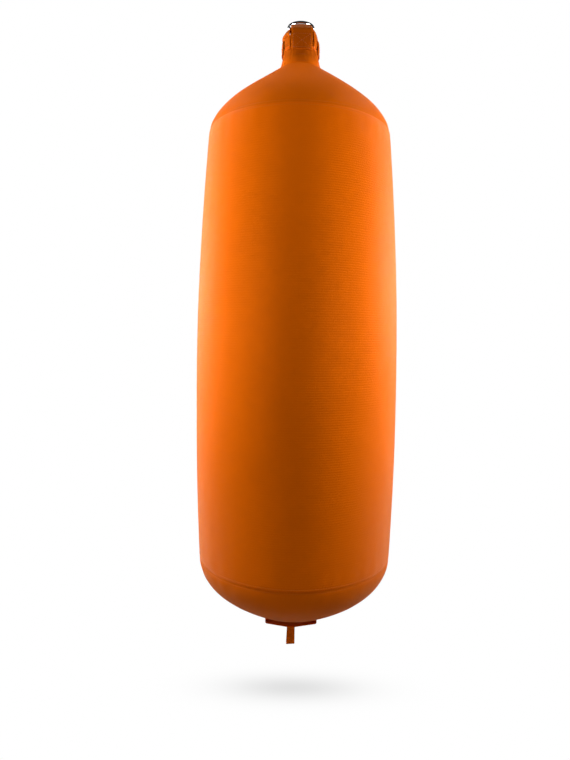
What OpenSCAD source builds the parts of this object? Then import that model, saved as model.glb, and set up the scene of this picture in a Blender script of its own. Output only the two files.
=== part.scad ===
// Hanging punching bag: a stuffed cloth barrel with a conical shoulder, a cloth neck,
// four webbing hangers gathered to one D-ring, and a tether loop under the base.
// The origin is the middle of the D-ring's straight bar, on the bag's axis. +Z is up,
// +X runs along the bar, and -Y is the front.

/* [Bag] */
// Radius of the bag where it is widest
belly_r = 190; // [170:1:210]
// Radius at the seam between the shoulder and the sleeve
top_seam_r = 172.5; // [160:0.5:175]
// Radius at the seam between the sleeve and the base
bottom_seam_r = 181; // [165:1:185]
// Depth of the shoulder seam below the D-ring's bar
top_seam_depth = 213; // [205:1:230]
// Length of the sleeve from seam to seam
sleeve_length = 795; // [600:5:900]
// Depth of the rounded base below its seam
base_depth = 138; // [125:1:145]
// Thickness of the outer cloth
cloth_t = 1.8; // [1.2:0.1:2.5]

/* [Neck] */
// Outer radius of the neck cuff at its rim
neck_r = 34.6; // [34:0.1:36]
// How much wider the neck is at its foot than at its rim
neck_flare = 7; // [5:0.5:9]
// Depth of the neck's rim below the D-ring's bar
rim_depth = 48; // [46:1:50]
// Depth of the neck's foot below the D-ring's bar
neck_foot_depth = 85; // [83:1:88]

/* [Webbing] */
// Width of the front and back hanger and of the base band
webbing_w = 40; // [36:1:41]
// Thickness of the webbing
webbing_t = 1.8; // [1.4:0.1:2]
// Slope of the front and back hangers from their bend up to the bar
front_slope = 35; // [33:1:37]
// Slope of the side hangers from their bend up to the bar
side_slope = 52; // [50:1:54]
// Width of the side hangers' webbing
side_webbing_w = 46; // [40:1:48]
// Width of the side hangers' outer plies
side_ply_w = 26; // [20:1:40]
// Width of the side hangers' gathered middle, where it passes under the bar
tongue_w = 16; // [12:1:17]
// How far the outer ply of each hanger reaches down over the neck's rim
lap = 8; // [5:1:12]

/* [D-ring] */
// Diameter of the ring's wire
wire_d = 5; // [4:0.5:5]
// Half the length of the ring's straight bar
bar_half = 20.5; // [20.5:0.5:22]
// Radius of the two bends at the ends of the bar
corner_r = 3.5; // [3.5:0.5:5]
// How far the ring leans back from upright
ring_lean = 36; // [0:1:60]

/* [Base] */
// Length of the band across the base
band_length = 98; // [90:1:110]
// How far the band and the tether sit to the right of the axis
band_x = -4.5; // [-6:0.5:6]
// Width of the tether tape
tape_w = 15; // [12:1:20]
// Thickness of the tether tape
tape_t = 1.2; // [1:0.1:1.4]
// Length of the tether loop from its hinge line to its end
tether_length = 38; // [34:1:50]

/* [Filling] */
// Thickness of the foam lining
foam_t = 12; // [8:1:20]
// Radius of the sand bags along the axis
sand_r = 60; // [40:5:70]
// Length of each sand bag
sand_length = 170; // [120:5:180]

/* [Hidden] */

$fn = 64;
fine = 0.2;
far = 400;
orange = [0.86, 0.42, 0.08];
webbing_orange = [0.72, 0.33, 0.05];
thread_orange = [0.62, 0.27, 0.03];
foam_grey = [0.35, 0.36, 0.38];
liner_cream = [0.82, 0.79, 0.70];

wire_r = wire_d / 2;
leg_x = bar_half + corner_r;
bar_clearance = 0.3;
strap_bore_r = wire_r + bar_clearance;

top_seam_z = -top_seam_depth;
bottom_seam_z = top_seam_z - sleeve_length;
base_z = bottom_seam_z - base_depth;
rim_z = -rim_depth;
neck_foot_z = -neck_foot_depth;
neck_foot_r = neck_r + neck_flare;
lap_z = rim_z - lap;

// A point on a cubic curve through a and d, pulled towards b and c.
function curve_at(a, b, c, d, u) =
    pow(1 - u, 3) * a + 3 * u * pow(1 - u, 2) * b + 3 * u * u * (1 - u) * c + pow(u, 3) * d;
function curve(a, b, c, d, steps) =
    [for (i = [0:steps]) curve_at(a, b, c, d, i / steps)];
function reverse(list) = [for (i = [len(list) - 1:-1:0]) list[i]];
function unit(v) = v / norm(v);
function near(list, i) = list[max(0, min(len(list) - 1, i))];
function is_seam(p) = p[1] == top_seam_z || p[1] == bottom_seam_z;
// Shifts an outline that runs downwards towards the axis, square to itself. A seam's point
// shifts level, so that the panels on its two sides meet face to face.
function inset(list, distance) =
    [for (i = [0:len(list) - 1])
        let (run = is_seam(list[i]) ? [0, -1] : unit(near(list, i + 1) - near(list, i - 1)))
            [max(0, list[i][0] + run[1] * distance), list[i][1] - run[0] * distance]];
function arc(r, from, to, steps) =
    [for (i = [0:steps]) let (a = from + (to - from) * i / steps) r * [cos(a), sin(a)]];

// The bag's outer outline as three curves from the neck's foot to the base's tip.
shoulder_curve = curve([neck_foot_r, neck_foot_z], [110, neck_foot_z - 53],
    [top_seam_r - 9, top_seam_z + 43], [top_seam_r, top_seam_z], 10);
sleeve_curve = curve([top_seam_r, top_seam_z],
    [belly_r + 5, top_seam_z - sleeve_length / 3],
    [belly_r + 5, bottom_seam_z + sleeve_length / 3], [bottom_seam_r, bottom_seam_z], 12);
base_curve = curve([bottom_seam_r, bottom_seam_z], [bottom_seam_r - 6, bottom_seam_z - 39],
    [bottom_seam_r - 16, bottom_seam_z - 66], [0.5, base_z], 14);

module revolve(outline) {
    rotate_extrude($fn = 96) polygon(outline);
}

// A shell whose outer face follows the curve, starting gap inside it.
module shell(line, gap, thickness) {
    revolve(concat(inset(line, gap), reverse(inset(line, gap + thickness))));
}

// A body of revolution bounded by a curve that is gap inside the given one.
module solid_inside(line, gap) {
    inner = inset(line, gap);
    revolve(concat([[0, inner[0][1]]], inner, [[0, inner[len(inner) - 1][1]]]));
}

// ---- D-ring ----

module ring_bend(side) {
    translate([side * bar_half, 0, corner_r])
        rotate([90, 0, 0])
            rotate([0, 0, side > 0 ? -90 : 180])
                rotate_extrude(angle = 90) translate([corner_r, 0]) circle(wire_r);
}

module d_ring() {
    color("silver")
        rotate([-ring_lean, 0, 0]) {
            rotate([0, 90, 0]) cylinder(h = 2 * bar_half, r = wire_r, center = true);
            ring_bend(1);
            ring_bend(-1);
            translate([0, 0, corner_r])
                rotate([90, 0, 0])
                    rotate_extrude(angle = 180) translate([leg_x, 0]) circle(wire_r);
        }
}

// ---- Hangers ----

// Height of the front and back roof at its outer face, wrapped round the bar.
function roof_outline(r) = concat(
    [[-far, -far * tan(front_slope) + r / cos(front_slope)]],
    reverse(arc(r, 90 - front_slope, 90 + front_slope, 10)),
    [[far, -far * tan(front_slope) + r / cos(front_slope)]]);

// Everything under a roof that wraps the bar at radius r.
module under_roof(r) {
    rotate([90, 0, 90])
        linear_extrude(height = webbing_w, center = true)
            polygon(roof_outline(r));
}

// Height at which the side hangers' slopes would meet on the axis.
side_roof_peak = 24.6;

// Everything under a flat-topped roof with sloping sides, along Y.
module under_side_roof(top, drop, width) {
    line_at_axis = side_roof_peak - drop / cos(side_slope);
    ledge = (line_at_axis - top) / tan(side_slope);
    rotate([90, 0, 0])
        linear_extrude(height = width, center = true)
            polygon([[-far, line_at_axis - far * tan(side_slope)], [-ledge, top], [ledge, top],
                [far, line_at_axis - far * tan(side_slope)]]);
}

// A round column that follows the neck at the given distance outside its outer face. The
// neck is straight down to flare_z and widens below it.
flare_z = rim_z - 4;
function neck_r_at(z, out) =
    neck_r + out + neck_flare * pow(max(0, (flare_z - z) / (flare_z - neck_foot_z)), 2);
module neck_column(out, bottom) {
    steps = 8;
    top = 10;
    side = [for (i = [0:steps]) let (z = flare_z + (bottom - flare_z) * i / steps)
        [neck_r_at(z, out), z]];
    revolve(concat([[0, top], [neck_r + out, top]], side, [[0, bottom]]));
}

inner_ply_out = -cloth_t - fine;
inner_ply_in = inner_ply_out - webbing_t;
outer_ply_in = fine;
outer_ply_out = outer_ply_in + webbing_t;
strap_foot_z = neck_foot_z + 3;

module front_back_strap() {
    color(webbing_orange)
        difference() {
            intersection() {
                neck_column(inner_ply_out, strap_foot_z);
                under_roof(strap_bore_r + webbing_t);
            }
            intersection() {
                neck_column(inner_ply_in, strap_foot_z - 1);
                under_roof(strap_bore_r);
            }
        }
}

module front_back_doubler() {
    inner_r = strap_bore_r + webbing_t + fine;
    color(webbing_orange)
        difference() {
            intersection() {
                neck_column(outer_ply_out, lap_z);
                under_roof(inner_r + webbing_t);
            }
            intersection() {
                neck_column(outer_ply_in, lap_z - 1);
                under_roof(inner_r);
            }
        }
}

// The gathered tongue passes under the bar and the other strap, which it clears.
tongue_top = -strap_bore_r - 2 * fine;
side_gate_x = webbing_w / 2 + 4 * fine;

module side_strap() {
    color(webbing_orange)
        intersection() {
            difference() {
                intersection() {
                    neck_column(inner_ply_out, strap_foot_z);
                    under_side_roof(tongue_top, 0, side_webbing_w);
                }
                intersection() {
                    neck_column(inner_ply_in, strap_foot_z - 1);
                    under_side_roof(tongue_top - webbing_t, webbing_t, side_webbing_w);
                }
            }
            union() {
                cube([2 * far, tongue_w, 2 * far], center = true);
                translate([far + side_gate_x, 0, 0]) cube(2 * far, center = true);
                translate([-far - side_gate_x, 0, 0]) cube(2 * far, center = true);
            }
        }
}

// The outer ply on one side; it stops short of the ring's bend.
module side_doubler(side) {
    top_x = leg_x + wire_r + 0.5;
    color(webbing_orange)
        intersection() {
            difference() {
                intersection() {
                    neck_column(outer_ply_out, lap_z);
                    under_side_roof(0, -webbing_t - fine, side_ply_w);
                }
                intersection() {
                    neck_column(outer_ply_in, lap_z - 1);
                    under_side_roof(-1, -fine, side_ply_w);
                }
            }
            translate([side * (far + top_x), 0, 0]) cube(2 * far, center = true);
        }
}

module left_doubler() {
    side_doubler(-1);
}

module right_doubler() {
    side_doubler(1);
}

stitch_w = 1;
thread_gap = 0.05;
stitch_h = 0.5;
box_top_z = -27;
box_margin = 7;
box_h = box_top_z - lap_z - 3;

// A box with a cross in it, drawn flat and centred, for a ply of the given width.
module box_and_cross(ply_w) {
    box_w = ply_w - box_margin;
    difference() {
        square([box_w, box_h], center = true);
        square([box_w - 2 * stitch_w, box_h - 2 * stitch_w], center = true);
    }
    cross_angle = atan2(box_h, box_w);
    intersection() {
        square([box_w - stitch_w, box_h - stitch_w], center = true);
        union() {
            rotate(cross_angle) square([2 * box_w, stitch_w], center = true);
            rotate(-cross_angle) square([2 * box_w, stitch_w], center = true);
        }
    }
}

// Thread that lies on the column outside the neck, on the side that angle names.
module thread_on_neck(angle, z, out) {
    intersection() {
        difference() {
            neck_column(out + stitch_h, neck_foot_z);
            neck_column(out, neck_foot_z - 1);
        }
        rotate([0, 0, angle])
            translate([0, -neck_r / 2, z])
                rotate([90, 0, 0])
                    linear_extrude(height = neck_r) children();
    }
}

module hanger_stitching() {
    color(thread_orange)
        for (angle = [0, 90, 180, 270])
            thread_on_neck(angle, (box_top_z + lap_z) / 2, outer_ply_out + thread_gap)
                box_and_cross(angle % 180 == 0 ? webbing_w : side_ply_w);
}

// Short bars of thread that tie the two straps together beside the bar.
module hanger_cross_tacks() {
    tack_x = webbing_w / 2 - 3;
    tack_y = 6;
    tack_l = 4;
    tack_h = 1.4;
    color(thread_orange)
        for (x = [-tack_x, tack_x], y = [-tack_y, tack_y])
            translate([x, y, tongue_top + thread_gap + tack_h / 2])
                cube([tack_l, tack_h, tack_h], center = true);
}

// ---- Neck ----

module neck_cuff() {
    color(orange)
        difference() {
            neck_column(0, neck_foot_z);
            neck_column(-cloth_t, neck_foot_z - 1);
            translate([0, 0, far + rim_z]) cube(2 * far, center = true);
        }
}

// Binding over the rim in the four gaps between the hangers.
module neck_hem() {
    hem_h = 5;
    hem_t = 0.9;
    hem_angle = 18;
    color(orange)
        for (angle = [45, 135, 225, 315])
            rotate([0, 0, angle - hem_angle / 2])
                translate([0, 0, rim_z - hem_h])
                    rotate_extrude(angle = hem_angle)
                        translate([neck_r + fine / 2, 0]) square([hem_t, hem_h + hem_t]);
}

// Rows of thread that hold the inner plies through the cuff.
module neck_stitching() {
    row_w = webbing_w - 12;
    upper_row_z = rim_z - 18;
    lower_row_z = neck_foot_z + 5;
    color(thread_orange)
        for (angle = [0, 90, 180, 270], z = [upper_row_z, lower_row_z])
            thread_on_neck(angle, z, thread_gap) square([row_w, stitch_w], center = true);
}

// ---- Cover ----

module cover_shoulder() {
    color(orange) shell(shoulder_curve, 0, cloth_t);
}

module cover_sleeve() {
    color(orange) shell(sleeve_curve, 0, cloth_t);
}

module cover_base() {
    color(orange) shell(base_curve, 0, cloth_t);
}

tape_half = 12;
tape_gap = 0.3;
seam_tape_t = 1;

// A tape inside a seam, on both sides of it.
module seam_tape(line_above, line_below) {
    seam = line_below[0];
    upper = seam + unit(near(line_above, len(line_above) - 2) - seam) * tape_half;
    lower = seam + unit(line_below[1] - seam) * tape_half;
    shell([upper, seam, lower], cloth_t + tape_gap, seam_tape_t);
}

module shoulder_seam_tape() {
    color(webbing_orange) seam_tape(shoulder_curve, sleeve_curve);
}

module base_seam_tape() {
    color(webbing_orange) seam_tape(sleeve_curve, base_curve);
}

// ---- Filling ----

layer_gap = 0.8;
foam_gap = cloth_t + seam_tape_t + layer_gap;
liner_gap = foam_gap + foam_t + layer_gap;
liner_t = 1;
fill_gap = liner_gap + liner_t + layer_gap;

module shoulder_pad() {
    color(foam_grey) shell(shoulder_curve, foam_gap, foam_t);
}

module foam_jacket() {
    color(foam_grey) shell(sleeve_curve, foam_gap, foam_t);
}

module base_pad() {
    color(foam_grey) shell(base_curve, foam_gap, foam_t);
}

whole_curve = concat(shoulder_curve, [for (i = [1:len(sleeve_curve) - 1]) sleeve_curve[i]],
    [for (i = [1:len(base_curve) - 1]) base_curve[i]]);
liner_line = inset(whole_curve, liner_gap);
liner_neck = [[24, rim_z - 6], [19, -68], [20, -84], [30, -98]];

module inner_liner() {
    outer = concat(liner_neck, liner_line);
    color(liner_cream) shell(outer, 0, liner_t);
}

// A cord round the liner's gathered neck.
module liner_tie() {
    tie_z = -70;
    tie_r = 21.5;
    cord_r = 1.8;
    color("white")
        translate([0, 0, tie_z])
            rotate_extrude() translate([tie_r, 0]) circle(cord_r, $fn = 24);
}

sand_top_z = -380;
sand_pitch = sand_length + 6;
sand_edge_r = 18;

// A stuffed cylinder with rounded ends, its top at z.
module sand_bag(z) {
    top = [for (p = arc(sand_edge_r, 90, 0, 6)) [sand_r - sand_edge_r, z - sand_edge_r] + p];
    bottom = [for (p = arc(sand_edge_r, 0, -90, 6))
        [sand_r - sand_edge_r, z - sand_length + sand_edge_r] + p];
    revolve(concat([[0, z]], top, bottom, [[0, z - sand_length]]));
}

module sand_bag_upper() {
    color("tan") sand_bag(sand_top_z);
}

module sand_bag_middle() {
    color("tan") sand_bag(sand_top_z - sand_pitch);
}

module sand_bag_lower() {
    color("tan") sand_bag(sand_top_z - 2 * sand_pitch);
}

module textile_fill() {
    core_h = 3 * sand_pitch;
    core_gap = (sand_pitch - sand_length) / 2;
    color("lightgrey")
        difference() {
            solid_inside(whole_curve, fill_gap);
            translate([0, 0, sand_top_z + core_gap - core_h])
                cylinder(h = core_h, r = sand_r + layer_gap);
        }
}

// ---- Base ----

band_low_z = base_z - 5.5;
band_rise = 7.5;
band_end_x = band_length / 2 - webbing_t;

// The band: a shallow V whose two ends turn up to the base.
module base_band() {
    end_z = band_low_z + band_rise;
    bend = 3;
    outer_x = band_end_x + webbing_t;
    right_half = [[band_end_x, end_z], [outer_x, end_z + bend], [outer_x, bottom_seam_z],
        [band_end_x, bottom_seam_z], [band_end_x, end_z + bend],
        [band_end_x - webbing_t, end_z + webbing_t]];
    left_half = [for (p = reverse(right_half)) [-p[0], p[1]]];
    color(webbing_orange)
        difference() {
            translate([band_x, 0, 0])
                rotate([90, 0, 0])
                    linear_extrude(height = webbing_w, center = true)
                        polygon(concat([[0, band_low_z]], right_half,
                            [[0, band_low_z + webbing_t]], left_half));
            solid_inside(base_curve, 0);
        }
}

module band_stitching() {
    color(thread_orange)
        difference() {
            for (side = [-1, 1], z = [6, 10])
                translate([band_x + side * (band_length + stitch_h) / 2, 0,
                    band_low_z + band_rise + z])
                    cube([stitch_h, webbing_w - 8, stitch_w], center = true);
            solid_inside(base_curve, 0);
        }
}

sling_low_z = band_low_z - fine - tape_t;

// A tape wrapped once round the middle of the band.
module tether_sling() {
    inner_w = webbing_w + 2 * fine;
    band_rise_in_tape = band_rise * tape_w / 2 / band_end_x;
    inner_top = band_low_z + webbing_t + band_rise_in_tape + fine;
    color(webbing_orange)
        translate([band_x, 0, 0])
            rotate([90, 0, 90])
                linear_extrude(height = tape_w, center = true)
                    difference() {
                        translate([-inner_w / 2 - tape_t, sling_low_z])
                            square([inner_w + 2 * tape_t, inner_top + tape_t - sling_low_z]);
                        translate([-inner_w / 2, sling_low_z + tape_t])
                            square([inner_w, inner_top - sling_low_z - tape_t]);
                    }
}

tether_root_r = 1.2;
tether_end_r = 4.6;
tether_z = sling_low_z - tether_root_r - 0.5;

// The tape loop: two plies that part below their root and meet in a round end.
module tether_loop() {
    end_z = tether_end_r - tether_length;
    lean = asin((tether_end_r - tether_root_r) / -end_z);
    root_side = tether_root_r * [cos(lean), sin(lean)];
    parting_z = -6;
    color(webbing_orange)
        translate([band_x, 0, tether_z])
            rotate([90, 0, 90])
                linear_extrude(height = tape_w, center = true)
                    difference() {
                        union() {
                            circle(tether_root_r);
                            polygon(concat([root_side, [-root_side[0], root_side[1]]],
                                [for (p = arc(tether_end_r, 180 - lean, 360 + lean, 16))
                                    [0, end_z] + p]));
                        }
                        polygon(concat([[0, parting_z]],
                            [for (p = arc(tether_end_r - tape_t, 180 - lean, 360 + lean, 16))
                                [0, end_z] + p]));
                    }
}

d_ring();
front_back_strap();
side_strap();
front_back_doubler();
left_doubler();
right_doubler();
hanger_stitching();
hanger_cross_tacks();
neck_cuff();
neck_hem();
neck_stitching();
cover_shoulder();
cover_sleeve();
cover_base();
shoulder_seam_tape();
base_seam_tape();
shoulder_pad();
foam_jacket();
base_pad();
inner_liner();
liner_tie();
textile_fill();
sand_bag_upper();
sand_bag_middle();
sand_bag_lower();
base_band();
band_stitching();
tether_sling();
tether_loop();
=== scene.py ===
import math

import bpy
import numpy as np
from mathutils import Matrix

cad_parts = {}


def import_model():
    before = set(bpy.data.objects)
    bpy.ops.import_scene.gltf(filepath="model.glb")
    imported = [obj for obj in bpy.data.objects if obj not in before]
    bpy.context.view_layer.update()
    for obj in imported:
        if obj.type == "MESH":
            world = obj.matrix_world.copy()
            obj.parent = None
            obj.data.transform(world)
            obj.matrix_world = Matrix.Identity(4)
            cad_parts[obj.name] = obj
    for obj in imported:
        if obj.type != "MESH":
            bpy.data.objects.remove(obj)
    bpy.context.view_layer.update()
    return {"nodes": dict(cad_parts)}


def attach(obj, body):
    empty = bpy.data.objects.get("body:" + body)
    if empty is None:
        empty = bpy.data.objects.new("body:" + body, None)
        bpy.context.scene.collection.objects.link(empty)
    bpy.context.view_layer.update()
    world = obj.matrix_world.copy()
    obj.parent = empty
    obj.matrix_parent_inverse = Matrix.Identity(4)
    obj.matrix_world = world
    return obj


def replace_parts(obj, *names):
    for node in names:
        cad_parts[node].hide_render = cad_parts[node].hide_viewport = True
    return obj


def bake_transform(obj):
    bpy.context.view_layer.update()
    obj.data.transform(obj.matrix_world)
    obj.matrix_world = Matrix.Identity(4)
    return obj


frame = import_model()

MM = 0.001
PI = math.pi

# Lengths are in millimetres, as in the CAD, up to where a mesh is built. Materials, lights
# and the camera are in metres.

# The bag's outline: radius and height.
NECK_R, NECK_FLARE, RIM_Z, FLARE_Z, FOOT_Z = 34.6, 7.0, -48.0, -52.0, -85.0
TOP_SEAM, BOTTOM_SEAM, TIP = (172.5, -213.0), (181.0, -1008.0), (0.5, -1146.0)
SHOULDER = ((NECK_R + NECK_FLARE, FOOT_Z), (110, -138), (163.5, -170), TOP_SEAM)
SLEEVE = (TOP_SEAM, (195, -478), (195, -743), BOTTOM_SEAM)
BASE = (BOTTOM_SEAM, (175, -1047), (165, -1074), TIP)
CLOTH_T = 1.7


# ---- Camera ----

CAMERA_DISTANCE, CAMERA_Z, CAMERA_ROLL = 1.067, -0.588, -0.75
# The lens shift, as shares of the picture's longer side.
SHIFT_X, SHIFT_Y = -0.01579, -0.06316

scene = bpy.context.scene
camera = bpy.data.objects.new("camera", bpy.data.cameras.new("camera"))
scene.collection.objects.link(camera)
camera.location = (0, -CAMERA_DISTANCE, CAMERA_Z)
camera.rotation_euler = (PI / 2, math.radians(CAMERA_ROLL), 0)
camera.data.lens = 26.05
camera.data.sensor_width = 36
camera.data.sensor_fit = "AUTO"
camera.data.shift_x = SHIFT_X
camera.data.shift_y = SHIFT_Y
camera.data.clip_start = 0.01
camera.data.clip_end = 100
scene.camera = camera
scene.view_settings.view_transform = "Standard"
scene.view_settings.look = "None"
scene.view_settings.exposure = 0
scene.view_settings.gamma = 1


# ---- Node helpers ----

def principled(nt):
    return next(n for n in nt.nodes if n.type == "BSDF_PRINCIPLED")


def new_material(name):
    m = bpy.data.materials.new(name)
    m.use_nodes = True
    return m, m.node_tree, principled(m.node_tree)


def math_node(nt, operation, a, b=None, clamp=False):
    n = nt.nodes.new("ShaderNodeMath")
    n.operation = operation
    n.use_clamp = clamp
    for i, v in enumerate((a, b)):
        if v is None:
            continue
        if isinstance(v, (int, float)):
            n.inputs[i].default_value = v
        else:
            nt.links.new(v, n.inputs[i])
    return n.outputs[0]


def coordinates(nt, kind):
    return nt.nodes.new("ShaderNodeTexCoord").outputs[kind]


def separate(nt, vector):
    n = nt.nodes.new("ShaderNodeSeparateXYZ")
    nt.links.new(vector, n.inputs[0])
    return n.outputs[0], n.outputs[1], n.outputs[2]


def noise(nt, vector, scale, detail=2.0):
    n = nt.nodes.new("ShaderNodeTexNoise")
    nt.links.new(vector, n.inputs["Vector"])
    n.inputs["Scale"].default_value = scale
    n.inputs["Detail"].default_value = detail
    return n.outputs["Fac"]


def remap(nt, value, a, b, low, high):
    n = nt.nodes.new("ShaderNodeMapRange")
    nt.links.new(value, n.inputs["Value"])
    n.inputs["From Min"].default_value = a
    n.inputs["From Max"].default_value = b
    n.inputs["To Min"].default_value = low
    n.inputs["To Max"].default_value = high
    return n.outputs["Result"]


def mix_colour(nt, fac, a, b, blend="MIX"):
    n = nt.nodes.new("ShaderNodeMix")
    n.data_type = "RGBA"
    n.blend_type = blend
    for socket, v in ((n.inputs[0], fac), (n.inputs[6], a), (n.inputs[7], b)):
        if isinstance(v, (int, float)):
            socket.default_value = v
        elif isinstance(v, tuple):
            socket.default_value = (*v, 1)
        else:
            nt.links.new(v, socket)
    return n.outputs[2]


def bump(nt, height, distance, strength=1.0, normal=None):
    n = nt.nodes.new("ShaderNodeBump")
    nt.links.new(height, n.inputs["Height"])
    n.inputs["Distance"].default_value = distance
    n.inputs["Strength"].default_value = strength
    if normal is not None:
        nt.links.new(normal, n.inputs["Normal"])
    return n.outputs[0]


def fuzz_sheen(nt, shader, weight, rough, tint):
    """A sheen that rises to the weight where the surface turns away, as cloth fuzz does."""
    n = nt.nodes.new("ShaderNodeLayerWeight")
    n.inputs["Blend"].default_value = 0.5
    nt.links.new(remap(nt, n.outputs["Facing"], 0.15, 0.75, 0.0, weight),
                 shader.inputs["Sheen Weight"])
    shader.inputs["Sheen Roughness"].default_value = rough
    shader.inputs["Sheen Tint"].default_value = (*tint, 1)


def faint_gloss(shader, level):
    shader.inputs["Specular IOR Level"].default_value = level
    shader.inputs["Specular Tint"].default_value = (1.0, 0.5, 0.15, 1)


def weave(nt, u, v, pitch):
    """Height of a plain weave, 0 to 1: threads that pass over and under each other."""
    a = math_node(nt, "SINE", math_node(nt, "MULTIPLY", u, PI / pitch))
    b = math_node(nt, "SINE", math_node(nt, "MULTIPLY", v, PI / pitch))
    over = remap(nt, math_node(nt, "MULTIPLY", a, b), -0.25, 0.25, 0, 1)
    warp = math_node(nt, "ABSOLUTE", a)
    weft = math_node(nt, "ABSOLUTE", b)
    up = math_node(nt, "MULTIPLY", warp, over)
    across = math_node(nt, "MULTIPLY", weft, math_node(nt, "SUBTRACT", 1.0, over))
    return math_node(nt, "ADD", up, across)


RIB_PITCH = 0.004


def cloth_material(name, light, dark, pitch=0.0009, rough=0.55, relief=0.00018, rib=0.25,
                   sheen=0.55):
    """Woven cloth whose threads follow the piece's UVs, which are in metres. rib is the
    height of the cloth's cross ribs as a share of a thread's."""
    m, nt, shader = new_material(name)
    uv = coordinates(nt, "UV")
    u, v, _ = separate(nt, uv)
    place = coordinates(nt, "Object")
    threads = weave(nt, u, v, pitch)
    slub = noise(nt, uv, 900, 2)
    cloud = noise(nt, place, 9, 3)
    tone = math_node(nt, "ADD", math_node(nt, "MULTIPLY", threads, 0.35),
                     math_node(nt, "ADD", math_node(nt, "MULTIPLY", slub, 0.35),
                               math_node(nt, "MULTIPLY", cloud, 0.30)))
    nt.links.new(mix_colour(nt, tone, dark, light), shader.inputs["Base Color"])
    nt.links.new(remap(nt, math_node(nt, "ADD", slub, cloud), 0.6, 1.4, rough - 0.05,
                       rough + 0.06), shader.inputs["Roughness"])
    height = threads
    if rib:
        ribs = math_node(nt, "SINE", math_node(nt, "MULTIPLY", v, 2 * PI / RIB_PITCH))
        height = math_node(nt, "ADD", threads, math_node(nt, "MULTIPLY", ribs, rib))
    fine = bump(nt, height, relief)
    nt.links.new(bump(nt, slub, relief * 0.5, 0.6, fine), shader.inputs["Normal"])
    faint_gloss(shader, 0.015)
    fuzz_sheen(nt, shader, sheen, 0.35, (1.0, 0.75, 0.5))
    return m


def webbing_material(name, light, dark):
    """Ribbed webbing: chevrons of warp threads along the tape, whose UVs are in metres, and
    paler edges where the tape rubs."""
    pitch, rough = 0.0016, 0.62
    m, nt, shader = new_material(name)
    uv = coordinates(nt, "UV")
    u, v, _ = separate(nt, uv)
    side = math_node(nt, "ABSOLUTE", u)
    column = math_node(nt, "SINE", math_node(nt, "MULTIPLY", u, 2 * PI / (2.6 * pitch)))
    slope = math_node(nt, "ADD", v, math_node(nt, "MULTIPLY", column, 0.35 * pitch))
    weft = math_node(nt, "ABSOLUTE", math_node(
        nt, "SINE", math_node(nt, "MULTIPLY", slope, PI / pitch)))
    warp = math_node(nt, "ABSOLUTE", column)
    height = math_node(nt, "ADD", math_node(nt, "MULTIPLY", weft, 0.6),
                       math_node(nt, "MULTIPLY", warp, 0.4))
    fuzz = noise(nt, uv, 1400, 2)
    edge = remap(nt, side, 0.0165, 0.0195, 0.0, 0.45)
    tone = math_node(nt, "ADD", math_node(nt, "MULTIPLY", height, 0.55),
                     math_node(nt, "MULTIPLY", fuzz, 0.35))
    tone = math_node(nt, "ADD", tone, edge, clamp=True)
    nt.links.new(mix_colour(nt, tone, dark, light), shader.inputs["Base Color"])
    nt.links.new(remap(nt, fuzz, 0.3, 0.7, rough - 0.06, rough + 0.06),
                 shader.inputs["Roughness"])
    fine = bump(nt, height, 0.00035)
    nt.links.new(bump(nt, fuzz, 0.00012, 0.7, fine), shader.inputs["Normal"])
    faint_gloss(shader, 0.02)
    fuzz_sheen(nt, shader, 0.12, 0.4, (1.0, 0.55, 0.2))
    return m


def plain_material(name, light, dark, rough, scale=260, detail=4.0, relief=0.0004,
                   metallic=0.0, rough_spread=0.08):
    """A material with a grain of its own, placed by the object's coordinates."""
    m, nt, shader = new_material(name)
    place = coordinates(nt, "Object")
    grain = noise(nt, place, scale, detail)
    patch = noise(nt, place, scale / 12, 2)
    tone = math_node(nt, "ADD", math_node(nt, "MULTIPLY", grain, 0.6),
                     math_node(nt, "MULTIPLY", patch, 0.4))
    nt.links.new(mix_colour(nt, remap(nt, tone, 0.3, 0.7, 0, 1), dark, light),
                 shader.inputs["Base Color"])
    nt.links.new(remap(nt, grain, 0.3, 0.7, rough - rough_spread, rough + rough_spread),
                 shader.inputs["Roughness"])
    nt.links.new(bump(nt, grain, relief), shader.inputs["Normal"])
    shader.inputs["Metallic"].default_value = metallic
    return m


# The sleeve's cloth in a darker copy: painted shade on the shoulder, the base and the neck,
# which are the same cloth.
SHADED_ORANGE = (0.77, 0.139, 0.0005), (0.65, 0.109, 0.0004)

cloth = cloth_material("cover_cloth", (0.86, 0.152, 0.0005), (0.72, 0.118, 0.0004))
shoulder_cloth = cloth_material("shoulder_cloth", *SHADED_ORANGE, sheen=0.025)
base_cloth = cloth_material("base_cloth", *SHADED_ORANGE, sheen=0.2)
# The hangers' webbing is a much darker copy of the tape on the base: painted shade round the
# neck.
webbing = webbing_material("webbing", (0.44, 0.080, 0.0006), (0.27, 0.045, 0.0004))
low_webbing = webbing_material("base_webbing", (0.74, 0.132, 0.0008), (0.50, 0.082, 0.0005))
neck_cloth = cloth_material("neck_cloth", *SHADED_ORANGE, sheen=0.025)


def paint_shade(material, unshaded_z, shaded_z, left):
    """Cloth darkened from the lower height up to the higher one, where the share left of
    its colour shows: painted shade under the neck's rim and hangers. Heights are in metres."""
    nt = material.node_tree
    shader = principled(nt)
    colour = shader.inputs["Base Color"].links[0].from_socket
    place = coordinates(nt, "Object")
    _, _, z = separate(nt, place)
    patchy = math_node(nt, "MULTIPLY", noise(nt, place, 40, 3), 0.008)
    share = remap(nt, math_node(nt, "ADD", z, patchy), unshaded_z, shaded_z, 0.0, 1.0)
    tint = mix_colour(nt, share, (1.0, 1.0, 1.0), (left, left, left))
    nt.links.new(mix_colour(nt, 1.0, colour, tint, "MULTIPLY"), shader.inputs["Base Color"])


# Painted shade: the neck darkens towards its rim, under the hangers.
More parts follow.
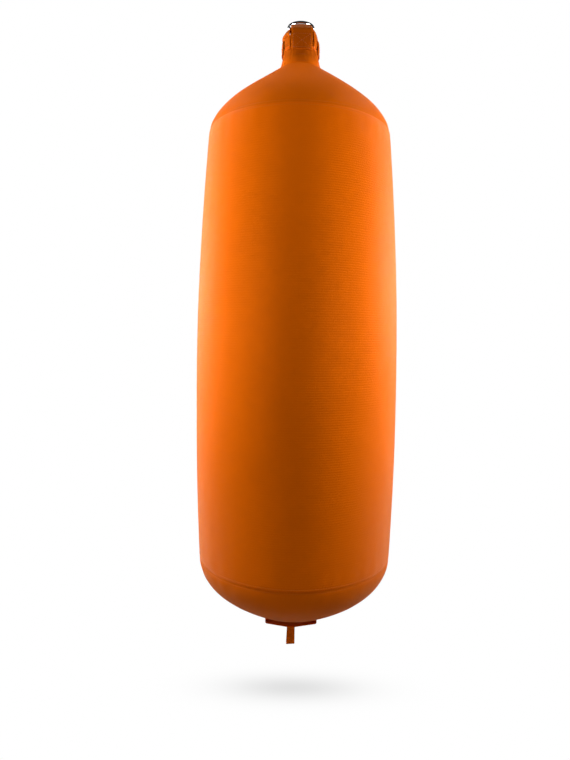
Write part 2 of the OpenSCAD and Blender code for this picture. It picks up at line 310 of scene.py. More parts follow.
paint_shade(neck_cloth, -0.084, -0.062, 0.52)
thread = plain_material("thread", (0.42, 0.070, 0.001), (0.28, 0.045, 0.0008), 0.6, 1800,
                        detail=2, relief=0.00008)
cover_thread = plain_material("cover_thread", (0.74, 0.128, 0.0008), (0.60, 0.098, 0.0006),
                              0.6, 1800, detail=2, relief=0.00008)
binding = cloth_material("binding", (0.66, 0.105, 0.0015), (0.50, 0.078, 0.001),
                         pitch=0.0008, rough=0.6, relief=0.00015, rib=0.0)
chrome = plain_material("chrome", (0.93, 0.94, 0.95), (0.86, 0.87, 0.88), 0.055, 900,
                        detail=3, relief=0.000004, metallic=1.0, rough_spread=0.02)
foam = plain_material("felted_foam", (0.12, 0.125, 0.135), (0.06, 0.063, 0.07), 0.9, 500)
liner = plain_material("liner_cloth", (0.66, 0.61, 0.48), (0.50, 0.46, 0.36), 0.85, 1200)
cord = plain_material("tie_cord", (0.85, 0.85, 0.82), (0.62, 0.62, 0.60), 0.6, 1500)
textile = plain_material("textile_scrap", (0.34, 0.36, 0.40), (0.12, 0.10, 0.10), 0.95, 90)
sand = plain_material("sand_sack", (0.56, 0.43, 0.24), (0.40, 0.30, 0.17), 0.9, 1600)


# ---- Mesh helpers ----

def build(name, verts, faces, material, body, uvs=None, sharp=38):
    """A piece from points in millimetres. uvs holds one pair for each face corner."""
    mesh = bpy.data.meshes.new(name)
    mesh.from_pydata((np.asarray(verts, float) * MM).tolist(), [], faces)
    if uvs is not None:
        layer = mesh.uv_layers.new(name="UVMap")
        layer.data.foreach_set("uv", (np.asarray(uvs, float) * MM).astype(np.float32).ravel())
    mesh.polygons.foreach_set("use_smooth", [True] * len(mesh.polygons))
    mesh.materials.append(material)
    mesh.validate()
    mesh.set_sharp_from_angle(angle=math.radians(sharp))
    obj = bpy.data.objects.new(name, mesh)
    scene.collection.objects.link(obj)
    if body:
        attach(obj, body)
    return obj


def grid_faces(rows, columns, wrap, start=0, flip=False):
    """Quads of a grid of points, and for each corner its row and its unwrapped column."""
    i = np.arange(rows - 1)[:, None]
    j = np.arange(columns if wrap else columns - 1)[None, :]
    i, j = (x.ravel() for x in np.broadcast_arrays(i, j))
    corners = [(i, j), (i, j + 1), (i + 1, j + 1), (i + 1, j)]
    if flip:
        corners = corners[::-1]
    index = np.stack([start + a * columns + b % columns for a, b in corners], 1)
    cells = np.stack([np.stack([a, b], 1) for a, b in corners], 1)
    return index, cells


def normals(points, wrap):
    """Unit normals of a grid of points."""
    along = np.gradient(points, axis=0)
    if wrap:
        across = np.roll(points, -1, 1) - np.roll(points, 1, 1)
    else:
        across = np.gradient(points, axis=1)
    n = np.cross(along, across)
    return n / np.maximum(np.linalg.norm(n, axis=2, keepdims=True), 1e-12)


def slab(name, top, bottom, u, v, material, body, wrap=False, sharp=38):
    """A closed piece between two grids of the same size, whose top faces outwards.
    u and v are the grid's coordinates in millimetres, for the UVs."""
    rows, columns = top.shape[:2]
    offset = rows * columns
    u = np.asarray(u, float)
    v = np.asarray(v, float)
    u_all = np.append(u, u[-1] + (u[1] - u[0])) if wrap else u
    faces, uvs = [], []

    def add(index, cells):
        faces.append(index)
        uvs.append(np.stack([u_all[cells[..., 1]], v[cells[..., 0]]], -1))

    add(*grid_faces(rows, columns, wrap, 0))
    add(*grid_faces(rows, columns, wrap, offset, flip=True))
    j = np.arange(columns if wrap else columns - 1)
    k = (j + 1) % columns
    for row, flip in ((0, True), (rows - 1, False)):
        a, b = row * columns + j, row * columns + k
        quad = np.stack([a, b, b + offset, a + offset], 1)
        cell = np.stack([np.stack([np.full_like(j, row), x], 1)
                         for x in (j, j + 1, j + 1, j)], 1)
        if flip:
            quad, cell = quad[:, ::-1], cell[:, ::-1]
        add(quad[:, ::-1], cell[:, ::-1])
    if not wrap:
        i = np.arange(rows - 1)
        for column, flip in ((0, False), (columns - 1, True)):
            a, b = i * columns + column, (i + 1) * columns + column
            quad = np.stack([a, b, b + offset, a + offset], 1)
            cell = np.stack([np.stack([x, np.full_like(i, column)], 1)
                             for x in (i, i + 1, i + 1, i)], 1)
            if flip:
                quad, cell = quad[:, ::-1], cell[:, ::-1]
            add(quad[:, ::-1], cell[:, ::-1])
    verts = np.concatenate([top.reshape(-1, 3), bottom.reshape(-1, 3)])
    return build(name, verts, np.concatenate(faces).tolist(), material, body,
                 np.concatenate(uvs).reshape(-1, 2), sharp)


def lengths(points):
    """Distance along a row of points."""
    return np.concatenate([[0], np.cumsum(np.linalg.norm(np.diff(points, axis=0), axis=1))])


def ribbon(name, path_at, width, thickness, material, body, inside, columns=15):
    """A woven tape, thinner at its two edges. path_at(s) is its middle line at the distance s
    across it, and inside is a point that the tape's top faces away from. Returns the piece,
    its middle surface with its normals, and the distances across and along it."""
    t = np.linspace(-1, 1, columns)
    s = width / 2 * np.sign(t) * (1 - (1 - np.abs(t)) ** 1.35)
    middle = np.stack([path_at(x) for x in s], 1)
    n = normals(middle, False)
    if np.sum(n * (middle - np.asarray(inside, float))) < 0:
        middle, s = middle[:, ::-1], s[::-1]
        n = normals(middle, False)
    rim = np.clip((1 - np.abs(s) / (width / 2)) / 0.035, 0, 1)
    half = thickness / 2 * (0.45 + 0.55 * np.sqrt(rim))[None, :, None]
    v = lengths(middle[:, columns // 2])
    obj = slab(name, middle + n * half, middle - n * half, s, v, material, body)
    return obj, middle, n, s, v


def rounded(points, radius, steps=5):
    """A path whose corners are rounded, each with the same number of points."""
    points = [np.asarray(p, float) for p in points]
    out = [points[0]]
    for a, b, c in zip(points, points[1:], points[2:]):
        r = min(radius, 0.45 * np.linalg.norm(a - b), 0.45 * np.linalg.norm(c - b))
        p = b + (a - b) / np.linalg.norm(a - b) * r
        q = b + (c - b) / np.linalg.norm(c - b) * r
        for k in range(steps + 1):
            w = k / steps
            out.append((1 - w) ** 2 * p + 2 * w * (1 - w) * b + w * w * q)
    out.append(points[-1])
    return np.array(out)


def dense(points, long=14.0):
    """A path whose stretches are cut in 2, or in 6 where they are long."""
    out = []
    for a, b in zip(points, points[1:]):
        n = 2 if np.linalg.norm(b - a) < long else 6
        out.extend(a + (b - a) * k / n for k in range(n))
    out.append(points[-1])
    return np.array(out)


def stitches(name, lines, body, length=3.0, gap=1.2, radius=0.42, lift=0.12, material=thread):
    """Stitches along lines that are (points, normals) on a surface, joined in one piece.
    Each stitch dives into the surface at its two ends."""
    verts, faces = [], []
    ring = 6
    # Along a stitch: the place, and the share of the thread's full radius.
    profile = ((0.0, 0.35), (0.12, 0.85), (0.5, 1.0), (0.88, 0.85), (1.0, 0.35))
    for points, normal in lines:
        along = lengths(points)
        count = max(1, int((along[-1] + gap) / (length + gap)))
        pitch = along[-1] / count
        for k in range(count):
            at = np.array([k * pitch + 0.5 * gap + w * (pitch - gap) for w, _ in profile])
            centre = np.stack([np.interp(at, along, points[:, d]) for d in range(3)], 1)
            out = np.stack([np.interp(at, along, normal[:, d]) for d in range(3)], 1)
            out /= np.linalg.norm(out, axis=1, keepdims=True)
            run = np.gradient(centre, axis=0)
            run /= np.linalg.norm(run, axis=1, keepdims=True)
            side = np.cross(run, out)
            start = len(verts)
            for c, o, x, (w, r) in zip(centre, out, side, profile):
                c = c + o * (lift - 0.7 * radius * (2 * w - 1) ** 4)
                for q in range(ring):
                    a = 2 * PI * q / ring
                    verts.append(c + r * radius * (math.cos(a) * x * 1.15 + math.sin(a) * o))
            for i in range(len(profile) - 1):
                for q in range(ring):
                    a, b = start + i * ring + q, start + i * ring + (q + 1) % ring
                    faces.append((a, a + ring, b + ring, b))
            faces.append(tuple(start + q for q in range(ring)))
            last = start + (len(profile) - 1) * ring
            faces.append(tuple(last + q for q in reversed(range(ring))))
    return build(name, verts, faces, material, body, sharp=80)


def waves(seed, count, low, high, x, y, z):
    """Smooth rise and fall made of plane waves, about -1 to 1, with wavelengths in mm."""
    rng = np.random.default_rng(seed)
    total = np.zeros(np.broadcast(x, y, z).shape)
    for _ in range(count):
        d = rng.normal(size=3)
        d /= np.linalg.norm(d)
        k = 2 * PI / rng.uniform(low, high)
        total = total + np.sin(k * (x * d[0] + y * d[1] + z * d[2]) + rng.uniform(0, 2 * PI))
    return total / math.sqrt(count * 2)


# ---- Cover: shoulder, sleeve and base ----

def bezier(a, b, c, d, u):
    a, b, c, d = (np.asarray(p, float) for p in (a, b, c, d))
    u = np.asarray(u, float)[:, None]
    return (1 - u) ** 3 * a + 3 * u * (1 - u) ** 2 * b + 3 * u * u * (1 - u) * c + u ** 3 * d


def spaced(total, step, fine_ends):
    """Distances from 0 to total, close together at the ends that fine_ends marks."""
    fine_step, grow = 0.8, 1.25

    def ramp(fine):
        out, s = [0.0], fine_step if fine else step
        while out[-1] < total / 2:
            out.append(out[-1] + s)
            if len(out) > 10 or not fine:
                s = min(step, s * grow)
        return np.array(out[:-1])

    a, b = ramp(fine_ends[0]), ramp(fine_ends[1])
    return np.concatenate([a, total - b[::-1]])


BACK_SEAM = PI / 2
COLUMNS = 288
# Where the topstitching runs beside each seam, and how far the lap at the back seam reaches.
TOPSTITCH, BACK_LAP = 4.2, 6.2
# The radius that the cloth's UVs are measured at, so that its threads run through the seams.
UV_R = 185.0


def from_back_seam(phi):
    return (phi - BACK_SEAM + PI) % (2 * PI) - PI


def azimuths():
    """Angles round the bag, with more of them at the vertical seam at the back."""
    base = np.arange(COLUMNS) * 2 * PI / COLUMNS
    close = BACK_SEAM + np.radians([-2.6, -2.25, -2.0, -1.7, -0.9, 0.9, 1.7, 2.0, 2.25, 2.6])
    keep = np.abs(from_back_seam(base)) > math.radians(2.9)
    return np.sort(np.concatenate([base[keep], close, [BACK_SEAM]]))


def panel(name, curve, step, seams, seed, node, material, dip):
    """One turned panel of the cover, with its lumps, its puckers and a lap at the back seam.
    seams says whether it is sewn at its top and at its foot, and dip is how deep its edges
    sink there, and over what width."""
    line = bezier(*curve, np.linspace(0, 1, 1500))
    along = lengths(line)
    at = spaced(along[-1], step, seams)
    profile = np.stack([np.interp(at, along, line[:, d]) for d in range(2)], 1)
    phi = azimuths()
    r, z = profile[:, 0][:, None], profile[:, 1][:, None]
    x, y, z = r * np.cos(phi), r * np.sin(phi), z + 0 * phi
    points = np.stack([x, y, z], 2)
    out = normals(points, True)
    if np.mean(out[:, :, 0] * np.cos(phi)) < 0:
        out = -out
    # Slow and quick lumps, which fade towards the base's tip.
    fade = np.clip(r / 60, 0, 1)
    push = 0.55 * waves(seed, 14, 90, 240, x, y, 0.6 * z) * fade
    push = push + 0.10 * waves(seed + 1, 18, 22, 50, x, y, z) * fade
    for near, used in ((at, seams[0]), (at[-1] - at, seams[1])):
        if not used:
            continue
        d = near[:, None]
        push = push - dip[0] * np.exp(-(d / dip[1]) ** 1.5)
        push = push - 0.16 * np.exp(-((d - TOPSTITCH) / 0.9) ** 2)
        swell = np.clip(d / 14, 0, 1) * np.exp(-d / 26)
        ripple = waves(seed + 7, 10, 14, 34, r * np.cos(phi), r * np.sin(phi), 0 * z)
        push = push + 0.77 * swell * ripple + 0.5 * swell
    aside = np.abs(from_back_seam(phi))[None, :] * np.maximum(r, 1)
    lapped = 1 - 1 / (1 + np.exp(-(aside - BACK_LAP) / 0.45))
    push = push + 0.9 * lapped * np.clip(r / 40, 0, 1)
    top = points + out * push[:, :, None]
    bottom = points + out * (np.minimum(push, 0) - CLOTH_T)[:, :, None]
    if curve is BASE:
        bottom[-1] = top[-1] + np.array([0, 0, CLOTH_T])
    u = phi * UV_R
    order = slice(None, None, -1)
    obj = slab(name, top[:, order], bottom[:, order], -u[order], at, material, "bag",
               wrap=True, sharp=60)
    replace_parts(obj, node)
    return top, out, at, phi


shoulder = panel("shoulder_skin", SHOULDER, 5.0, (False, True), 11, "cover_shoulder",
                 shoulder_cloth, (1.3, 4.5))
sleeve = panel("sleeve_skin", SLEEVE, 7.0, (True, True), 23, "cover_sleeve", cloth,
               (0.55, 0.9))
base = panel("base_skin", BASE, 5.0, (True, False), 37, "cover_base", base_cloth,
             (1.3, 4.5))


def seam_line(part, at_foot):
    """A ring of surface points where the topstitching runs beside a panel's edge."""
    top, out, at, phi = part
    want = at[-1] - TOPSTITCH if at_foot else TOPSTITCH
    i = int(np.argmin(np.abs(at - want)))
    close = list(range(len(phi))) + [0]
    return top[i][close], out[i][close]


def back_line(part, side, clear=9.0):
    """A line down one side of the vertical seam at the back, clear of the panel's edges."""
    top, out, at, phi = part
    keep = np.where((at > clear) & (at < at[-1] - clear))[0]
    points, normal = [], []
    for i in keep:
        r = max(60.0, math.hypot(top[i, 0, 0], top[i, 0, 1]))
        w = BACK_SEAM + side * TOPSTITCH / r
        points.append([np.interp(w, phi, top[i, :, d]) for d in range(3)])
        normal.append([np.interp(w, phi, out[i, :, d]) for d in range(3)])
    return np.array(points), np.array(normal)


stitches("cover_topstitching", [
    seam_line(sleeve, False), seam_line(sleeve, True),
    seam_line(shoulder, True), seam_line(base, False),
    *(back_line(part, side) for part in (shoulder, sleeve, base) for side in (-1, 1)),
], "bag", length=3.2, gap=1.3, radius=0.40, lift=0.02, material=cover_thread)


# ---- Neck ----

NECK_ROWS = (-66.0, -80.0)


def neck_r_at(z, out):
    """Radius at the height z of a surface that stands out from the neck's cloth."""
    return NECK_R + out + NECK_FLARE * np.maximum(0, (FLARE_Z - z) / (FLARE_Z - FOOT_Z)) ** 2


def neck():
    """The cuff, with fine pleats between the hangers and a dent under each row of stitches."""
    z = np.concatenate([np.linspace(RIM_Z, RIM_Z - 6, 9),
                        np.linspace(RIM_Z - 8, FOOT_Z - 1, 26)])
    phi = np.linspace(0, 2 * PI, 256, endpoint=False)
    zz, pp = np.meshgrid(z, phi, indexing="ij")
    r = neck_r_at(zz, 0)
    pulled = np.abs(np.cos(2 * pp)) ** 6
    down = np.clip((RIM_Z - zz) / 8, 0, 1) * np.clip((zz - FOOT_Z) / 10, 0, 1)
    pleat = (1 - pulled) * (np.sin(31 * pp + 1.3 * np.sin(3 * pp))
                            + 0.6 * np.sin(47 * pp + 2.0))
    push = 0.13 * pleat * down - 0.35 * pulled * down
    for row in NECK_ROWS:
        push = push - 0.35 * np.exp(-((zz - row) / 1.2) ** 2) * pulled
    top = np.stack([(r + push) * np.cos(pp), (r + push) * np.sin(pp), zz], 2)
    inner = r + np.minimum(push, 0) - 1.6
    bottom = np.stack([inner * np.cos(pp), inner * np.sin(pp), zz], 2)
    order = slice(None, None, -1)
    obj = slab("neck_skin", top[:, order], bottom[:, order], -phi[order] * NECK_R,
               RIM_Z - z, neck_cloth, "bag", wrap=True, sharp=60)
    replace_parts(obj, "neck_cuff")


neck()


def rim_binding():
    """Bias tape turned over the rim, seen between the hangers."""
    width = 2 * NECK_R * math.radians(10.5)
    for k, centre in enumerate((45, 135, 225, 315)):
        fold = [(NECK_R + 0.75, -53), (NECK_R + 1.0, -50.5), (NECK_R + 0.95, -48.4),
                (NECK_R + 0.2, -47.2), (NECK_R - 1.0, -47.0), (NECK_R - 2.0, -47.9),
                (NECK_R - 2.2, -50), (NECK_R - 2.2, -53)]
        line = rounded([np.array([r, 0, z]) for r, z in fold], 0.8, 3)

        def path(s, line=line, centre=centre):
            a = math.radians(centre) + s / NECK_R
            return np.stack([line[:, 0] * math.cos(a), line[:, 0] * math.sin(a), line[:, 2]], 1)

        a = math.radians(centre)
        core = ((NECK_R - 0.6) * math.cos(a), (NECK_R - 0.6) * math.sin(a), -51)
        obj = ribbon(f"rim_binding_{k}", path, width, 0.7, binding, "bag",
                     core)[0]
        if k == 0:
            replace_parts(obj, "neck_hem")


rim_binding()


# ---- Hangers ----

FRONT_SLOPE, WEB_W, WEB_T = math.radians(35), 39.4, 1.8
SIDE_W, SIDE_PLY_W, SIDE_PLY_TOP = 46.0, 26.0, -30.0
# Where the outer plies and the straps end on the neck, and where the front and back hangers
# stop standing straight.
LAP_Z, STRAP_FOOT_Z, UPRIGHT_Z = -56.0, -82.0, -30.0
# How far the inner and the outer plies stand out from the neck's surface, and how far from
# the bar's middle they pass over it.
INNER_OUT, OUTER_OUT = -2.9, 1.1
INNER_BAR_R, OUTER_BAR_R = 3.7, 5.7
# How flat the front and back hangers leave the neck, how far right of its middle they run, and
# how much further right at the front.
FLATNESS, STRAP_X, FRONT_DRIFT = 0.65, 0.9, 1.4
INSIDE_HANGERS = (0, 0, -30)


def front_back_path(out, bar_r, bottom, crown, drift):
    """Middle line of a ply that runs front to back over the bar. It arches by crown over the
    bar, and its ends drift to the right, by drift at the back."""
    bend_r = 4.0
    free = 1.6 * bar_r

    def half(s, shift):
        x = s + STRAP_X + shift
        neck_z = np.linspace(bottom, UPRIGHT_Z, 16)
        r = neck_r_at(neck_z, out)
        flat = FLATNESS * np.clip((neck_z + 50) / 10, 0, 1)
        y = r - (r - np.sqrt(r * r - x * x)) * (1 - flat)
        up = [np.array([y, z]) for y, z in zip(y, neck_z)]
        bend = np.array([y[-1], bar_r / math.cos(FRONT_SLOPE) - y[-1] * math.tan(FRONT_SLOPE)])
        touch = bar_r * np.array([math.sin(FRONT_SLOPE), math.cos(FRONT_SLOPE)])
        start = up[-1]
        a = bend + (start - bend) * min(0.4, bend_r / np.linalg.norm(start - bend))
        b = bend + (touch - bend) * min(0.4, bend_r / np.linalg.norm(touch - bend))
        line = up + [start + (a - start) * k / 3 for k in range(1, 3)]
        line += [(1 - w) ** 2 * a + 2 * w * (1 - w) * bend + w * w * b
                 for w in np.linspace(0, 1, 7)]
        arch = np.array([0, crown * math.cos(PI * s / WEB_W)])
        line += [b + (touch - b) * k / 8 + arch * math.sin(PI * (k + 1) / 16)
                 for k in range(1, 8)]
        line += [bar_r * np.array([math.sin(w), math.cos(w)]) + arch
                 for w in np.linspace(FRONT_SLOPE, 0, 6)]
        line = np.array(line)
        near = np.clip(1 - line[:, 0] / 14, 0, 1)
        drifted = np.clip((line[:, 0] - free) / (y[-1] - free), 0, 1)
        across = s * (1 - 0.012 * crown * near) + STRAP_X * (1 - 0.6 * near) + shift * drifted
        return np.stack([across, line[:, 0], line[:, 1]], 1)

    def path(s):
        front = half(s, FRONT_DRIFT) * np.array([1, -1, 1])
        return np.concatenate([front, half(s, drift)[:-1][::-1]])

    return path


def on_surface(tape, places):
    """Points and normals on the top of a tape at places given as (across, along)."""
    _, middle, n, s, v = tape
    out_p, out_n = [], []
    order = np.argsort(s)
    for a, b in places:
        i = np.clip(np.interp(b, v, np.arange(len(v))), 0, len(v) - 1.001)
        j = np.clip(np.interp(a, s[order], order.astype(float)), 0, len(s) - 1.001)
        i0, j0 = int(i), int(j)
        fi, fj = i - i0, j - j0
        w = ((1 - fi) * (1 - fj), (1 - fi) * fj, fi * (1 - fj), fi * fj)
        at = ((i0, j0), (i0, j0 + 1), (i0 + 1, j0), (i0 + 1, j0 + 1))
        p = sum(k * middle[c] for k, c in zip(w, at))
        m = sum(k * n[c] for k, c in zip(w, at))
        m = m / np.linalg.norm(m)
        out_p.append(p + m * WEB_T / 2)
        out_n.append(m)
    return np.array(out_p), np.array(out_n)


def box_and_cross(tape, low, high, half=16.0):
    """Lines of a stitched box with a cross in it, between two distances along a tape."""
    count = 10
    corners = [(-half, low), (half, low), (half, high), (-half, high)]
    runs = list(zip(corners, corners[1:] + corners[:1]))
    runs += [(corners[0], corners[2]), (corners[1], corners[3])]
    lines = []
    for a, b in runs:
        places = [(a[0] + (b[0] - a[0]) * k / count, a[1] + (b[1] - a[1]) * k / count)
                  for k in range(count + 1)]
        lines.append(on_surface(tape, places))
    return lines


strap = ribbon("front_back_webbing",
               front_back_path(INNER_OUT, INNER_BAR_R, STRAP_FOOT_Z, crown=0.2, drift=-7.0),
               WEB_W, WEB_T, webbing, "bag", INSIDE_HANGERS)
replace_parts(strap[0], "front_back_strap")
doubler = ribbon("front_back_outer_ply",
                 front_back_path(OUTER_OUT, OUTER_BAR_R, LAP_Z, crown=2.4, drift=4.8),
                 WEB_W, WEB_T, webbing, "bag", INSIDE_HANGERS)
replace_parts(doubler[0], "front_back_doubler")

LEFT_TURN = math.radians(10.5)
# Middle line of each side strap above the neck: radius, height, and how far it is gathered.
LEFT_ROOF = ((33.2, -39, 0), (32.8, -29, 0), (35.6, -22.7, 0), (30.8, -14.5, 0.08),
             (25.8, -6.6, 0.5), (21.8, -4.8, 1))
RIGHT_ROOF = ((33.4, -39, 0), (33.6, -31, 0), (31.6, -19, 0), (28.6, -11, 0.3),
              (24.4, -5.6, 0.85), (21.6, -4.6, 1))
# The strap's width where it is gathered, as a share of its full width, with the pitch of the
# folds there, and where that stretch starts.
GATHER, FOLD_PITCH = 0.34, 11.0
TONGUE_X, TONGUE_Z = 16.0, -4.6


def side_angle(side):
    return PI if side < 0 else 0.0


def side_path(side):
    """Middle line of a side strap from the neck's foot to the middle, under the bar."""
    turn, roof, corner = (LEFT_TURN, LEFT_ROOF, 2.2) if side < 0 else (0.0, RIGHT_ROOF, 7.0)

    def path(s):
        a = side_angle(side) + turn + s / (NECK_R + INNER_OUT)
        fold = math.cos(2 * PI * s / FOLD_PITCH)
        zs = np.linspace(STRAP_FOOT_Z, -46, 10)
        rr = neck_r_at(zs, INNER_OUT)
        up = [np.array([r * math.cos(a), r * math.sin(a), z]) for r, z in zip(rr, zs)]
        line = [up[-1]]
        for r, z, g in roof:
            line.append(np.array([(1 - g) * r * math.cos(a) + g * side * r,
                                  (1 - g) * r * math.sin(a) + g * s * GATHER,
                                  z + g * 0.7 * fold]))
        line.append(np.array([side * TONGUE_X, s * GATHER, TONGUE_Z + 0.35 * fold]))
        line = rounded(line, corner, 4)
        tongue = [np.array([side * x, s * GATHER, line[-1][2]]) for x in (10.5, 5.0, 0.0)]
        return np.array(up[:-1] + list(line) + tongue)

    return path


def whole_side_path(s):
    return np.concatenate([side_path(-1)(-s), side_path(1)(s)[:-1][::-1]])


side_strap = ribbon("side_webbing", whole_side_path, SIDE_W, WEB_T, webbing, "bag",
                    INSIDE_HANGERS, columns=25)
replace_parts(side_strap[0], "side_strap")


def side_ply_path(side):
    """Middle line of the short patch that is sewn over a side strap and the rim."""
    def path(s):
        a = side_angle(side) + s / (NECK_R + OUTER_OUT)
        z = np.linspace(LAP_Z, SIDE_PLY_TOP, 15)
        r = neck_r_at(z, OUTER_OUT) - 0.9 * np.clip((z + 44) / 14, 0, 1) ** 2
        return np.stack([r * math.cos(a), r * math.sin(a), z], 1)

    return path


side_plies = []
for side, label in ((-1, "left"), (1, "right")):
    ply = ribbon(f"{label}_outer_ply", side_ply_path(side), SIDE_PLY_W, WEB_T, webbing, "bag",
                 (0, 0, -43))
    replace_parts(ply[0], f"{label}_doubler")
    side_plies.append(ply)

length = doubler[4][-1]
lines = box_and_cross(doubler, 3.0, 28.0) + box_and_cross(doubler, length - 28.0, length - 3.0)
for ply in side_plies:
    lines += box_and_cross(ply, 3.0, 23.0, half=9.5)
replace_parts(stitches("hanger_box_stitches", lines, "bag"), "hanger_stitching")


def neck_rows():
    """Rows of stitches round the neck that hold each hanger's inner ply."""
    rows = []
    for quarter in range(4):
        turn = LEFT_TURN if quarter == 2 else 0.0
        for z in NECK_ROWS:
            a = quarter * PI / 2 + turn + np.linspace(-14.0, 14.0, 15) / NECK_R
            r = neck_r_at(np.full(15, z), -0.55)
            rows.append((np.stack([r * np.cos(a), r * np.sin(a), np.full(15, z)], 1),
                         np.stack([np.cos(a), np.sin(a), 0 * a], 1)))
    return rows


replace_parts(stitches("neck_row_stitches", neck_rows(), "bag"), "neck_stitching")


# ---- Base band and tether ----

# The height of the band's middle, how much higher its ends are, and where its middle sits.
BAND_Z, BAND_RISE, BAND_X = -1151.5, 7.5, -4.5
# The band's width, and how far from its middle its upright ends and the bends below them are.
BAND_W, BAND_END, BAND_BEND = 40.0, 48.1, 47.2
BAND_ROWS = (-1138.0, -1134.0)
# The tether's tape, which is wrapped round the band and hangs down from it as a loop.
TAPE_W, TAPE_T, SLING_HALF = 15.0, 1.2, 20.8
TETHER_Z, TETHER_LENGTH, LOOP_R = -1154.6, 38.0, 3.92
base_profile = bezier(*BASE, np.linspace(0, 1, 400))[::-1]


def band_path(s):
    """Middle line of the band: a shallow V under the base, turned up at its ends."""
    middle = np.array([BAND_X, s, BAND_Z + WEB_T / 2])
    end_z = BAND_Z + BAND_RISE + WEB_T / 2
    halves = []
    for side in (-1, 1):
        x = BAND_X + side * BAND_END
        top = float(np.interp(math.hypot(x, s), base_profile[:, 0], base_profile[:, 1]))
        halves.append([np.array([x, s, top + 0.6]), np.array([x, s, end_z + 1.2]),
                       np.array([x - side * 1.5, s, end_z - 0.1])])
    line = rounded(halves[0] + [middle] + halves[1][::-1], 1.1, 4)
    return dense(line)


band = ribbon("base_band_webbing", band_path, BAND_W, WEB_T, low_webbing, "bag",
              (0, 0, -1120))
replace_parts(band[0], "base_band")


def band_rows():
    """Rows of stitches on the band's turned-up ends."""
    rows = []
    y = np.linspace(-16, 16, 9)
    for side in (-1, 1):
        for z in BAND_ROWS:
            rows.append((np.stack([np.full(9, BAND_X + side * 49.0), y, np.full(9, z)], 1),
                         np.stack([np.full(9, float(side)), 0 * y, 0 * y], 1)))
    return rows


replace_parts(stitches("base_band_stitches", band_rows(), "bag"), "band_stitching")


def sling_path(s):
    """Round the band, with its two ends beside each other underneath."""
    rise = BAND_RISE * abs(s) / BAND_BEND
    low, high = BAND_Z - 0.8, BAND_Z + WEB_T + 0.75 + rise * 0.9
    y = SLING_HALF
    corners = [(3.0, low), (y, low), (y, high), (-y, high), (-y, low), (-3.0, low)]
    line = rounded([np.array([BAND_X + s, y, z]) for y, z in corners], 1.0, 4)
    return dense(line)


sling = ribbon("tether_sling_tape", sling_path, TAPE_W, TAPE_T, low_webbing, "bag",
               (BAND_X, 0, BAND_Z + WEB_T / 2), columns=11)
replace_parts(sling[0], "tether_sling")


def tether_path(s):
    """Down one side of the loop, round its end and up the other. The loop widens downwards,
    turns a little and leans to the left."""
    legs, half_gap = 12, 0.62
    start, end = TETHER_Z + 0.9, TETHER_Z - TETHER_LENGTH + 4.6
    points = []
    for w in np.linspace(0, 1, legs):
        points.append((half_gap + (LOOP_R - half_gap) * w ** 1.4, start - w * (start - end)))
    for a in np.linspace(0, -PI, 15)[1:-1]:
        points.append((LOOP_R * math.cos(a), end + LOOP_R * math.sin(a)))
    points += [(-y, z) for y, z in points[:legs][::-1]]
    out = []
    for y, z in points:
        depth = (TETHER_Z - z) / TETHER_LENGTH
        twist = math.radians(5.0) * depth
        x = s * (1.0 + 0.06 * depth) - 0.8 * depth
        out.append(np.array([BAND_X + x * math.cos(twist) - y * math.sin(twist),
                             x * math.sin(twist) + y * math.cos(twist), z + 0.02 * s * depth]))
    return np.array(out)


tether = ribbon("tether_tape", tether_path, TAPE_W, TAPE_T, low_webbing, None,
                (BAND_X, 0, TETHER_Z - 34), columns=11)
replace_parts(tether[0], "tether_loop")
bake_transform(tether[0])


# ---- CAD nodes that are shown as they are ----

for node, material in (
    ("d_ring", chrome), ("hanger_cross_tacks", thread), ("shoulder_seam_tape", binding),
    ("base_seam_tape", binding), ("shoulder_pad", foam), ("foam_jacket", foam),
    ("base_pad", foam), ("inner_liner", liner), ("liner_tie", cord), ("textile_fill", textile),
    ("sand_bag_upper", sand), ("sand_bag_middle", sand), ("sand_bag_lower", sand),
):
    obj = frame["nodes"][node]
    obj.data.materials.clear()
    obj.data.materials.append(material)


# ---- Light, floor and background ----

FLOOR_Z, FLOOR_SIZE, FLOOR_BOUNCE = -1.278, 40.0, 0.38
# The soft shadow under the bag: half its length, half its depth, and how dark it is.
SHADOW_X, SHADOW_Y, SHADOW = 0.125, 0.0375, 0.24


def floor():
    """A white floor with a thin soft shadow as the camera sees it, and a plain grey one for
    the light that it throws back up."""
    mesh = bpy.data.meshes.new("floor")
    side, front, z = FLOOR_SIZE, -3, FLOOR_Z
    mesh.from_pydata([(-side, front, z), (side, front, z), (side, side, z), (-side, side, z)],
                     [], [(0, 1, 2, 3)])
    m, nt, shader = new_material("pale_floor")
    seen = nt.nodes.new("ShaderNodeLightPath").outputs["Is Camera Ray"]
    nt.links.new(mix_colour(nt, seen, (FLOOR_BOUNCE,) * 3, (0.0, 0.0, 0.0)),
                 shader.inputs["Base Color"])
    shader.inputs["Specular IOR Level"].default_value = 0.0
    x, y, _ = separate(nt, coordinates(nt, "Object"))
    ends = math_node(nt, "POWER", math_node(nt, "MULTIPLY", x, 1 / SHADOW_X), 2.0)
    depth = math_node(nt, "POWER", math_node(nt, "MULTIPLY", y, 1 / SHADOW_Y), 2.0)
    fall = math_node(nt, "POWER", math.e,
                     math_node(nt, "MULTIPLY", math_node(nt, "ADD", ends, depth), -1.0))
    glow = math_node(nt, "SUBTRACT", 1.0, math_node(nt, "MULTIPLY", fall, SHADOW))
    shader.inputs["Roughness"].default_value = 0.9
    shader.inputs["Emission Color"].default_value = (1, 1, 1, 1)
    nt.links.new(math_node(nt, "MULTIPLY", seen, glow), shader.inputs["Emission Strength"])
    mesh.materials.append(m)
    obj = bpy.data.objects.new("floor", mesh)
    scene.collection.objects.link(obj)


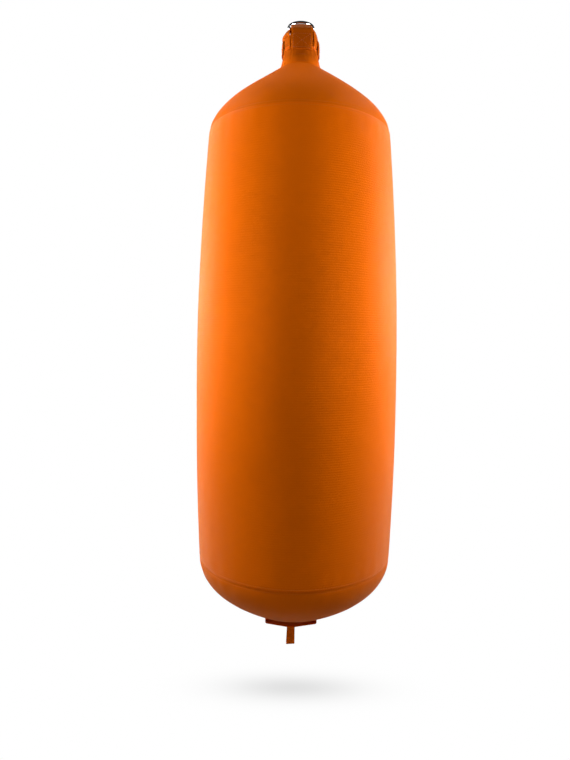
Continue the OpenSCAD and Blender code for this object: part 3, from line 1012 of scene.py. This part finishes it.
def area_light(name, azimuth, distance, height, size, power, glossy=True):
    """A softbox that faces the bag's axis. Azimuth 0 is the camera's side and 90 is the
    right. Without glossy it leaves no reflection."""
    data = bpy.data.lights.new(name, "AREA")
    data.shape = "RECTANGLE"
    data.size, data.size_y = size
    data.energy = power
    obj = bpy.data.objects.new(name, data)
    scene.collection.objects.link(obj)
    a = math.radians(azimuth)
    obj.location = (distance * math.sin(a), -distance * math.cos(a), height)
    obj.rotation_euler = (PI / 2, 0, a)
    obj.visible_glossy = glossy
    return obj


def world():
    """White for the camera, almost black for the bag, and a pale wall behind the bag in what
    gloss reflects."""
    w = bpy.data.worlds.new("world")
    scene.world = w
    w.use_nodes = True
    nt = w.node_tree
    nt.nodes.clear()
    out = nt.nodes.new("ShaderNodeOutputWorld")
    path = nt.nodes.new("ShaderNodeLightPath")
    back = nt.nodes.new("ShaderNodeBackground")
    _, y, _ = separate(nt, coordinates(nt, "Generated"))
    behind = remap(nt, y, 0.3, 0.8, 0.0, 0.9)
    gloss = math_node(nt, "MULTIPLY", behind, path.outputs["Is Glossy Ray"])
    glow = math_node(nt, "ADD", gloss, 0.02)
    back.inputs[0].default_value = (1, 1, 1, 1)
    nt.links.new(math_node(nt, "MAXIMUM", glow, path.outputs["Is Camera Ray"]), back.inputs[1])
    nt.links.new(back.outputs[0], out.inputs[0])


floor()
world()
area_light("left_key", -80, 0.72, -0.50, (0.3, 0.3), 5.6)
area_light("right_key", 78, 0.72, -0.49, (0.3, 0.3), 6.0)
area_light("left_high", -76, 0.72, -0.15, (0.3, 0.3), 0.8)
area_light("left_low", -108, 0.72, -1.2, (0.3, 0.12), 0.9)
area_light("right_low", 108, 0.72, -1.2, (0.3, 0.12), 0.7)
area_light("left_hanger", -92, 0.32, 0.03, (0.12, 0.12), 0.95)
area_light("right_hanger", 92, 0.32, 0.03, (0.12, 0.12), 0.95)
area_light("left_rim", -120, 0.8, -0.42, (0.25, 0.4), 6.2)
area_light("right_rim", 120, 0.8, -0.40, (0.25, 0.4), 5.8)
area_light("left_fill", -45, 2.0, 0.0, (0.8, 0.8), 7.4, glossy=False)
area_light("right_fill", 45, 2.0, 0.0, (0.8, 0.8), 4.6, glossy=False)
area_light("front_top", 0, 1.0, 0.1, (0.4, 0.4), 1.8, glossy=False)
overhead = area_light("overhead", 0, 0.0, 1.6, (0.6, 2.4), 12, glossy=False)
# Facing straight down.
overhead.rotation_euler = (0, 0, 0)
